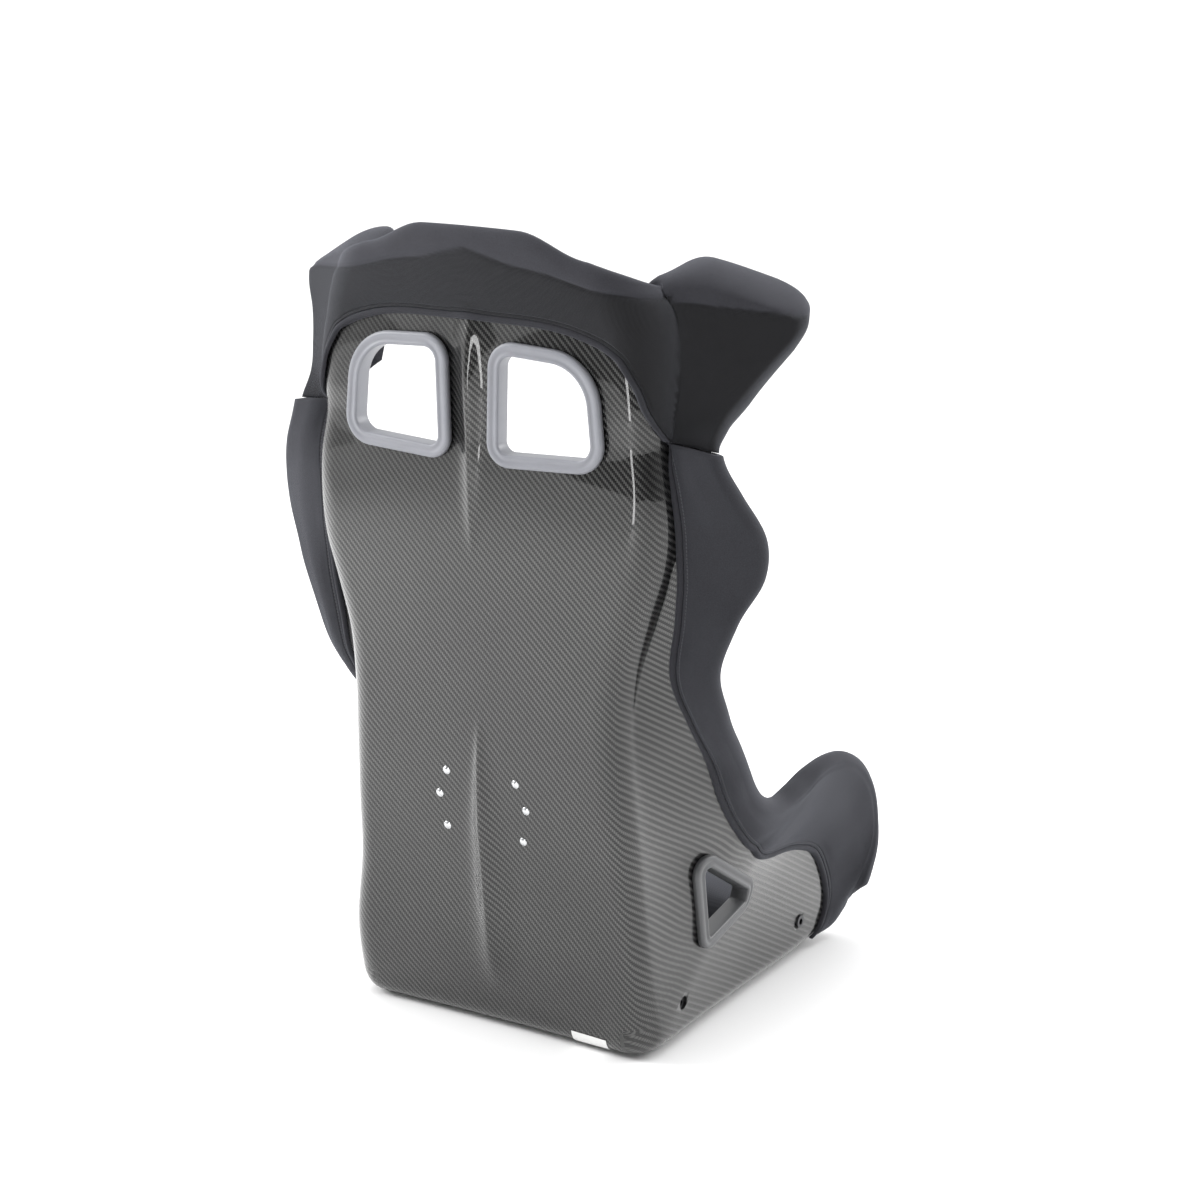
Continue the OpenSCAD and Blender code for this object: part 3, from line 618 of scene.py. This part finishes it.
def shell_piece():
    half = np.concatenate([np.linspace(0, 0.1, 15)[:-1], np.linspace(0.1, 0.5, 21)[:-1],
                           np.linspace(0.5, 0.62, 13)[:-1], np.linspace(0.62, 1, 27)])
    s = np.concatenate([-half[:0:-1], half])
    t = np.linspace(0, LAST, LAST * 8 + 1)
    tt, ss = np.meshgrid(t, s, indexing="ij")
    outer = surf(tt, ss)
    n = outward(tt, ss)
    inner = outer - n * SHELL_T
    # Cloth laid over back and flanks in one piece, and over the pan in another
    mid = s.size // 2
    flow = np.zeros(tt.shape)
    for sign in (1, -1):
        cols = np.arange(mid, s.size) if sign > 0 else np.arange(mid, -1, -1)
        step = np.linalg.norm(np.diff(outer[:, cols, :2], axis=1), axis=-1)
        flow[:, cols[1:]] = np.cumsum(step, 1)
    bend = np.argmin(np.abs(s - 0.62))
    start = flow[:, bend] + outer[:, bend, 1]
    start = np.where(t < PAN_START, start, start[np.searchsorted(t, PAN_START)])[:, None]
    along = (tt > PAN_START) & (np.abs(ss) > 0.5)
    run = np.where(along, start - outer[..., 1], flow)
    shear = WEAVE_SHEAR * np.maximum(run - flow[:, bend][:, None] + 25, 0)
    uv_back = np.stack([-np.sign(ss) * run, outer[..., 2] - shear], -1) / 1000
    uv_pan = np.stack([-outer[..., 0], outer[..., 1]], -1) / 1000
    verts, faces, _ = closed_skin(outer, inner)
    rows, cols = tt.shape
    ids = np.array(faces) % (rows * cols)
    centre_t = tt.ravel()[ids].mean(1)
    centre_s = np.abs(ss.ravel()[ids]).mean(1)
    pan = (centre_t > 17.2) & (centre_s < 0.6)
    uv = np.where(pan[:, None, None], uv_pan.reshape(-1, 2)[ids], uv_back.reshape(-1, 2)[ids])
    obj = add_object("carbon_shell", verts, faces, CARBON, uv.reshape(-1, 2))
    recalc(obj)
    cut_holes(obj)
    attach(obj, "seat_shell")
    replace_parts(obj, "shell")
    return obj


shell_piece()


# ---------------------------------------------------------------- covers over the rim
# Rows of a path: rim t, rim s, hem t, hem s and, where it isn't 1, fullness
HEAD_PATH = [
    [0, 0, 1.90, 0], [0, 0.14, 1.90, 0.12], [0, 0.28, 1.90, 0.24], [0, 0.40, 1.94, 0.33],
    [0, 0.47, 2.00, 0.376], [0, 0.50, 2.04, 0.395], [0, 0.525, 2.065, 0.411],
    [0, 0.55, 2.095, 0.426], [0, 0.575, 2.13, 0.44], [0, 0.60, 2.17, 0.454],
    [0, 0.625, 2.21, 0.467], [0, 0.65, 2.25, 0.475], [0, 0.68, 2.29, 0.485],
    [0, 0.72, 2.345, 0.494], [0, 0.76, 2.40, 0.502], [0, 0.82, 2.48, 0.509],
    [0, 0.88, 2.56, 0.516], [0, 1, 2.75, 0.523],
    [0.6, 1, 2.90, 0.530], [1.3, 1, 3.08, 0.537], [2, 1, 3.30, 0.545],
    [2.5, 1, 3.52, 0.551], [3, 1, 3.75, 0.557], [3.5, 1, 4.02, 0.570, 0.8],
    [4, 1, 4.30, 0.585, 0.58], [4.5, 1, 4.53, 0.600, 0.5], [4.95, 1, 4.72, 0.614, 0.5]]
SIDE_PATH = [
    [5.0, 1, 4.75, 0.615], [5.5, 1, 5.35, 0.640], [6, 1, 6.0, 0.655],
    [6.5, 1, 6.5, 0.655], [7, 1, 7.0, 0.655], [7.5, 1, 7.5, 0.665], [8, 1, 8.0, 0.685],
    [8.5, 1, 8.5, 0.715], [9, 1, 9.0, 0.76], [9.5, 1, 9.5, 0.79], [10, 1, 10, 0.82],
    [10.5, 1, 10.4, 0.845], [11, 1, 10.9, 0.88], [11.5, 1, 11.45, 0.91],
    [12, 1, 12.0, 0.93], [12.5, 1, 12.6, 0.938], [13, 1, 13.3, 0.94],
    [13.5, 1, 14.0, 0.937], [14, 1, 14.8, 0.93], [14.5, 1, 15.5, 0.915],
    [15, 1, 16.2, 0.90], [15.5, 1, 16.8, 0.885], [16, 1, 17.4, 0.875],
    [17, 1, 18.3, 0.865], [18, 1, 19.0, 0.860], [19, 1, 19.6, 0.855],
    [19.6, 1, 19.95, 0.85], [20.2, 1, 20.3, 0.84], [20.8, 1, 20.7, 0.82],
    [21.4, 1, 21.0, 0.80], [22, 1, 21.3, 0.78], [22.5, 1, 21.5, 0.76],
    [23, 1, 21.7, 0.74], [23, 0.92, 21.9, 0.70], [23, 0.83, 22.0, 0.665, 0.95],
    [23, 0.74, 22.0, 0.635, 0.9], [23, 0.66, 22.0, 0.61, 0.85], [23, 0.60, 22.0, 0.575, 0.7]]


def fine_path(path, per_row, mirrored=False):
    """Finer, smoothed rows of a path, mirrored about the middle plane if asked"""
    rows = np.array([list(p) + [1.0] * (5 - len(p)) for p in path], float)
    if mirrored:
        left = rows[:0:-1] * np.array([1, -1, 1, -1, 1])
        rows = np.concatenate([left, rows])
    fine = spline(rows, per_row)
    kernel = np.exp(-np.linspace(-1.6, 1.6, 2 * per_row + 1) ** 2)
    kernel /= kernel.sum()
    pad = per_row
    ext = np.concatenate([2 * fine[0] - fine[pad:0:-1], fine, 2 * fine[-1] - fine[-2:-pad - 2:-1]])
    fine = np.stack([np.convolve(ext[:, i], kernel, "valid") for i in range(5)], -1)
    fine[:, 1] = np.clip(fine[:, 1], -1, 1)
    fine[:, 0] = np.clip(fine[:, 0], 0, LAST)
    return fine


def leg_places(length, coarse):
    """Places up each leg as a share of its length, close together by the hem"""
    near = np.array([0, 0.8, 1.8, 2.6, 3.1, 3.5, 3.9, 4.4, 5.2, 6.5, 8.5, 11, 14, 18])
    first = near[None, :] / length[:, None]
    rest = first[:, -1:] + (1 - first[:, -1:]) * (np.arange(1, coarse + 1) / coarse)[None, :]
    return np.concatenate([first, rest], 1)


def cover(name, path, thick, roll, detail, mirror_x=1, coarse=22, fill=0, rise=0):
    """Padded cover folded over the rim; detail(points, normals, info) shapes its face"""
    t1, s1, t0, s0, full = (path[:, i:i + 1] for i in range(5))
    rim, hem = surf(t1, s1)[:, 0], surf(t0, s0)[:, 0]
    n_rim = outward(t1, s1)[:, 0]
    away = unit(rim - surf(t1 + (t0 - t1) * 0.06, s1 + (s0 - s1) * 0.06)[:, 0])
    kernel = np.array([1, 4, 6, 4, 1]) / 16
    for _ in range(3):
        ext = np.concatenate([away[:1]] * 2 + [away] + [away[-1:]] * 2)
        away = np.stack([np.convolve(ext[:, i], kernel, "valid") for i in range(3)], -1)
    samples = surf(t0 + (t1 - t0) * np.linspace(0, 1, 12), s0 + (s1 - s0) * np.linspace(0, 1, 12))
    length = np.linalg.norm(np.diff(samples, axis=1), axis=-1).sum(1)
    f = leg_places(length, coarse)
    top = 4 + (thick - 4) * full
    puff = 4 + (top - 4) * np.sin(np.pi / 2 * np.minimum(1, 1.6 * f))
    tl, sl = t0 + (t1 - t0) * f, s0 + (s1 - s0) * f
    w = np.clip((np.abs(s1) - 0.46) / 0.34, 0, 1)
    w = smoothstep(w) * np.clip((4.8 - t1) / 2.2, 0, 1)
    inner = -SHELL_T - SLOT - LINING - fill * w
    up = rise * w ** 3 * np.clip(1 - t1 / 1.6, 0, 1)
    n_leg = outward(tl, sl)
    leg = surf(tl, sl) + n_leg * puff[..., None]
    under = surf(tl, sl) + n_leg * 0.6
    ang = np.linspace(0, np.pi, 17)[1:-1]
    mid, amp = (top + inner) / 2, (top - inner) / 2
    e = away * full
    arc_pts = (rim[:, None] + n_rim[:, None] * (mid + amp * np.cos(ang))[..., None]
               + e[:, None] * (roll * np.sin(ang))[None, :, None])
    arc_pts[..., 2] += up * (1 - np.cos(ang)) / 2
    arc_low = (rim[:, None] + n_rim[:, None] * (-SHELL_T / 2 + (SHELL_T / 2 + SLOT)
                                                * np.cos(ang))[None, :, None]
               + e[:, None] * (SLOT * np.sin(ang))[None, :, None])
    fi = 0.985 - (0.485 + (0.1 * w if fill else 0)) * np.linspace(0, 1, 8)[None, :]
    ti, si = t0 + (t1 - t0) * fi, s0 + (s1 - s0) * fi
    n_in = outward(ti, si)
    in_low = surf(ti, si) - n_in * (SHELL_T + SLOT)
    in_pts = surf(ti, si) + n_in * np.broadcast_to(inner, ti.shape)[..., None]
    settle = np.clip(4 * (fi - 0.74), 0, 1)
    in_pts[..., 2] += up * smoothstep(settle)
    a = np.concatenate([leg, arc_pts, in_pts], 1)
    b = np.concatenate([under, arc_low, in_low], 1)
    v = np.concatenate([np.zeros((len(a), 1)),
                        np.cumsum(np.linalg.norm(np.diff(a, axis=1), axis=-1), 1)], 1)
    u = np.concatenate([np.zeros((1, a.shape[1])),
                        np.cumsum(np.linalg.norm(np.diff(a, axis=0), axis=-1), 0)], 0)
    start = len(a) // 2 if mirror_x == 0 else 0
    u = u - u[start:start + 1]
    normals = np.cross(np.gradient(a, axis=1), np.gradient(a, axis=0))
    normals /= np.linalg.norm(normals, axis=-1, keepdims=True) + 1e-9
    flip = np.sign((normals[:, :leg.shape[1]] * n_leg).sum(-1).mean())
    zones = np.zeros(a.shape[:2])
    a = detail(a, normals * flip, dict(v=v, u=u, legs=leg.shape[1], arcs=len(ang),
                                       path=path, zones=zones))
    uv = np.stack([u, v], -1) / 1000
    if mirror_x == -1:
        a, b = a * np.array([-1, 1, 1]), b * np.array([-1, 1, 1])
    verts, faces, uvs = closed_skin(a, b, uv)
    material = HEAD_FABRIC if mirror_x == 0 else SIDE_FABRIC
    obj = add_object(name, verts, faces, material, uvs)
    set_attribute(obj, "mesh", np.concatenate([zones.ravel(), zones.ravel()]))
    recalc(obj)
    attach(obj, "seat_shell")
    return obj


def groove(d, width, depth):
    """Sink of a sewn line at distance d from it"""
    return -depth * np.exp(-(d / width) ** 2)


def head_detail(p, n, info):
    """Edge stitching and the seam between mesh and plain cloth"""
    x, y, z = np.abs(p[..., 0]) / K, p[..., 1] / K + MID_Y, p[..., 2] / K
    line = np.interp(x, [0, 54, 108, 161, 198, 240], [968, 953, 945, 931, 926, 917])
    wing = np.interp(y, [60, 150, 230], [889, 900, 917])
    line = np.where(x > 225, np.minimum(line, wing), line)
    outer = np.arange(p.shape[1])[None, :] < info["legs"] + info["arcs"] // 2
    above = z - line
    info["zones"][:] = np.where(outer, np.clip(0.5 - above / 1.5, 0, 1), 0)
    d = np.where(outer, groove(above, 2.2, 1.6), 0)
    d += groove(info["v"] - 3.5, 0.8, 0.9)
    return p + n * d[..., None]


def side_detail(p, n, info):
    """Edge stitching, the seam along the top of the thigh bolster and a little slack"""
    t = info["path"][:, 0:1]
    d = groove(info["v"] - 3.5, 0.8, 0.9)
    from_rim = info["v"] - info["v"][:, info["legs"] - 1:info["legs"]]
    d += groove(from_rim - 3, 1.6, 1.3) * np.clip((t - 15) / 1.5, 0, 1)
    leg = np.arange(p.shape[1])[None, :] < info["legs"] + info["arcs"]
    slack = (np.sin(info["u"] / 31 + info["v"] / 17) * 0.35
             + np.sin(info["u"] / 13.7 - info["v"] / 23) * 0.25)
    d += np.where(leg & (info["v"] > 12), slack, 0)
    return p + n * d[..., None]


def binding(name, path, mirror_x=1):
    """Elastic welt along the hem, round in section"""
    t1, s1, t0, s0 = (path[:, i:i + 1] for i in range(4))
    hem = surf(t0, s0)[:, 0]
    n = outward(t0, s0)[:, 0]
    away = unit(hem - surf(t0 + (t1 - t0) * 0.08, s0 + (s1 - s0) * 0.08)[:, 0])
    ang = np.linspace(0, np.pi, 13)
    w, h = 4.1 - 4.1 * np.cos(ang), 0.4 + 4.9 * np.sin(ang) ** 0.8
    top = hem[:, None] + away[:, None] * w[None, :, None] + n[:, None] * h[None, :, None]
    low = hem[:, None] + away[:, None] * w[None, :, None] + n[:, None] * 0.2
    u = np.concatenate([[0], np.cumsum(np.linalg.norm(np.diff(hem, axis=0), axis=-1))])
    uv = np.stack(np.broadcast_arrays(u[:, None], (w * 1.4)[None, :]), -1) / 1000
    if mirror_x == -1:
        top, low = top * np.array([-1, 1, 1]), low * np.array([-1, 1, 1])
    verts, faces, uvs = closed_skin(top, low, uv)
    obj = add_object(name, verts, faces, BINDING, uvs)
    recalc(obj)
    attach(obj, "seat_shell")
    return obj


head_rows = fine_path(HEAD_PATH, 5, mirrored=True)
head = cover("head_cover_fabric", head_rows, 10, 18, head_detail, mirror_x=0, fill=44, rise=32)
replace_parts(head, "head_cover")
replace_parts(binding("head_binding", head_rows), "head_hem")
side_rows = fine_path(SIDE_PATH, 5)
for sign, word in ((1, "left"), (-1, "right")):
    piece = cover("side_cover_fabric_" + word, side_rows, 15, 15, side_detail, mirror_x=sign)
    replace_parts(piece, "side_cover_" + word)
    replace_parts(binding("side_binding_" + word, side_rows, sign), "side_hem_" + word)


# ---------------------------------------------------------------- pads and cushions
def pad(name, node, body, t_span, s_span, depth, thick, rise, fabric, cap=9.0, channels=None):
    """Foam pad: a crowned closed form, filled out by cloth simulation"""
    rows, cols = 22, 26
    a, b = np.linspace(-1, 1, rows)[:, None], np.linspace(-1, 1, cols)[None, :]
    trim = 0.965
    t = np.mean(t_span) + (t_span[1] - t_span[0]) / 2 * a * trim + 0 * b
    s = np.mean(s_span) + (s_span[1] - s_span[0]) / 2 * b * trim + 0 * a
    fall = (1 - np.abs(a) ** 3) * (1 - np.abs(b) ** 3)
    edge = (1 - np.abs(a) ** 14) * (1 - np.abs(b) ** 14)
    high = depth + 2 + (thick - 7) * np.maximum(edge, 0) ** 0.5 + rise * fall
    low, top = off(t, s, -(depth + 1.0) + 0 * a), off(t, s, -high - 2)
    verts, faces, _ = closed_skin(low, top)
    obj = add_object(name, verts, faces, fabric)
    recalc(obj)
    mod = obj.modifiers.new("remesh", "REMESH")
    mod.mode, mod.voxel_size = "VOXEL", 0.006
    mod.use_smooth_shade = True
    apply_modifiers(obj)
    start = np.array([v.co for v in obj.data.vertices])
    out = outward(np.mean(t_span), np.mean(s_span))
    facing = np.array([v.normal for v in obj.data.vertices]) @ out
    cloth = obj.modifiers.new("cloth", "CLOTH")
    cloth.settings.use_pressure = True
    cloth.settings.uniform_pressure_force = 4
    cloth.settings.effector_weights.gravity = 0
    cloth.settings.quality = 4
    cloth.point_cache.frame_start, cloth.point_cache.frame_end = 1, 20
    for f in range(1, 21):
        bpy.context.scene.frame_set(f)
    dg = bpy.context.evaluated_depsgraph_get()
    moved = np.array([v.co for v in obj.evaluated_get(dg).data.vertices])
    obj.modifiers.clear()
    bpy.context.scene.frame_set(1)
    shift = (moved - start) * np.clip((0.2 - facing) / 0.6, 0, 1)[:, None]
    shift -= np.maximum(shift @ out, 0)[:, None] * out
    far = np.linalg.norm(shift, axis=1, keepdims=True)
    start = start + shift * np.minimum(1, cap / 1000 / np.maximum(far, 1e-9))
    obj.data.vertices.foreach_set("co", start.astype(np.float32).ravel())
    obj.data.update()
    sub = obj.modifiers.new("fine", "SUBSURF")
    sub.levels = sub.render_levels = 1
    apply_modifiers(obj)
    if channels is not None:
        co = np.array([v.co for v in obj.data.vertices])
        no = np.array([v.normal for v in obj.data.vertices])
        co += no * channels(co * 1000)[:, None] / 1000
        obj.data.vertices.foreach_set("co", co.astype(np.float32).ravel())
        obj.data.update()
    obj.data.polygons.foreach_set("use_smooth", [True] * len(obj.data.polygons))
    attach(obj, body)
    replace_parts(obj, node)
    return obj


def lines_across(levels, axis, width=3.0, depth=3.5):
    def shape(co):
        return sum(groove(co[:, axis] - z, width, depth) for z in levels)
    return shape


PAD_DEPTH = SHELL_T + 3
BOLSTER = SHELL_T + SLOT + LINING + 0.6
pad("head_pad_foam", "head_pad", "seat_shell", (0.12, 2.3), (-0.38, 0.38), BOLSTER + 2, 26, 10,
    PAD_FABRIC, channels=lines_across([0.0], 0))
for sign, word in ((1, "left"), (-1, "right")):
    def span(lo, hi, g=sign):
        return (lo, hi) if g > 0 else (-hi, -lo)
    pad("shoulder_pad_foam_" + word, "shoulder_pad_" + word, "seat_shell", (5.2, 10.6),
        span(0.63, 0.94), BOLSTER, 12, 6, PAD_FABRIC, 5)
    pad("hip_pad_foam_" + word, "hip_pad_" + word, "seat_shell", (19, 22), span(0.78, 0.94),
        BOLSTER, 12, 10, PAD_FABRIC, 6)
pad("upper_back_pad", "upper_back_cushion", "seat_shell", (6.35, 8.9), (-0.44, 0.44),
    PAD_DEPTH, 16, 10, CUSHION_FABRIC)
pad("lumbar_pad", "lumbar_cushion", "lumbar_cushion_body", (9.05, 13.4), (-0.44, 0.44),
    PAD_DEPTH, 20, 10, CUSHION_FABRIC, channels=lines_across([300, 360, 420], 2))
pad("seat_pad", "seat_cushion", "seat_cushion_body", (18.2, 20.2), (-0.47, 0.47),
    PAD_DEPTH, 24, 10, CUSHION_FABRIC, channels=lines_across([20, 80], 1))
pad("thigh_pad", "thigh_cushion", "seat_shell", (21.15, 22.95), (-0.47, 0.47),
    PAD_DEPTH, 44, 10, CUSHION_FABRIC)


# ---------------------------------------------------------------- floor, light and camera
def stage():
    grid = 60
    x = np.linspace(-6000, 6000, grid)
    xx, yy = np.meshgrid(x, x, indexing="ij")
    ids = np.arange(grid * grid).reshape(grid, grid)
    q = np.stack([ids[:-1, :-1], ids[1:, :-1], ids[1:, 1:], ids[:-1, 1:]], -1).reshape(-1, 4)
    m = Nodes("floor", Specular_IOR_Level=0.1)
    cloud = m.noise(m.place(), 1.5, 2.0)
    floor = add_object("floor", np.stack([xx, yy, 0 * xx], -1).reshape(-1, 3), q.tolist(),
                       m.finish(m.mix(cloud, (0.93, 0.93, 0.93, 1), (0.96, 0.96, 0.96, 1)), 0.9))


def lamp(name, place, aim, size, power, colour=(1, 1, 1)):
    data = bpy.data.lights.new(name, "AREA")
    data.shape, data.size, data.size_y = "RECTANGLE", size[0], size[1]
    data.energy, data.color = power, colour
    obj = bpy.data.objects.new(name, data)
    bpy.context.scene.collection.objects.link(obj)
    obj.location = place
    obj.rotation_mode = "QUATERNION"
    obj.rotation_quaternion = (Vector(aim) - Vector(place)).to_track_quat("-Z", "Y")


def studio_sky():
    """Pale before the seat and dim behind it, so that the glossy back has contrast"""
    world = bpy.data.worlds.new("studio")
    bpy.context.scene.world = world
    world.use_nodes = True
    tree = world.node_tree
    direction = tree.nodes.new("ShaderNodeTexCoord").outputs["Generated"]
    across = tree.nodes.new("ShaderNodeVectorMath")
    across.operation = "DOT_PRODUCT"
    across.inputs[1].default_value = (0.35, -0.85, 0.25)
    tree.links.new(direction, across.inputs[0])
    fade = tree.nodes.new("ShaderNodeMapRange")
    fade.inputs["From Min"].default_value, fade.inputs["From Max"].default_value = -0.7, 0.35
    fade.inputs["To Min"].default_value, fade.inputs["To Max"].default_value = 0.14, 1.08
    tree.links.new(across.outputs["Value"], fade.inputs["Value"])
    tree.nodes["Background"].inputs["Color"].default_value = (1, 1, 1, 1)
    tree.links.new(fade.outputs["Result"], tree.nodes["Background"].inputs["Strength"])


stage()
lamp("key", (2.4, 1.5, 1.9), (0, 0, 0.45), (0.9, 1.6), 75)
lamp("fill", (-0.4, 3.2, 0.7), (0, 0, 0.3), (0.35, 1.3), 14)
lamp("front", (-2.2, -2.6, 1.6), (0, 0, 0.4), (2.4, 1.6), 80)
sun = bpy.data.objects.new("overhead", bpy.data.lights.new("overhead", "SUN"))
sun.data.energy, sun.data.angle = 1.6, 1.2
bpy.context.scene.collection.objects.link(sun)
studio_sky()
bpy.context.scene.view_settings.view_transform = "Standard"

camera = bpy.data.objects.new("camera", bpy.data.cameras.new("camera"))
bpy.context.scene.collection.objects.link(camera)
camera.data.sensor_width = 36
camera.data.lens = 85.43
camera.location = (-1.7471, 2.7581, 1.3795)
camera.rotation_mode = "QUATERNION"
target = Vector((-0.0076, 0.0067, 0.4707))
camera.rotation_quaternion = (target - camera.location).to_track_quat("-Z", "Y")
bpy.context.scene.camera = camera
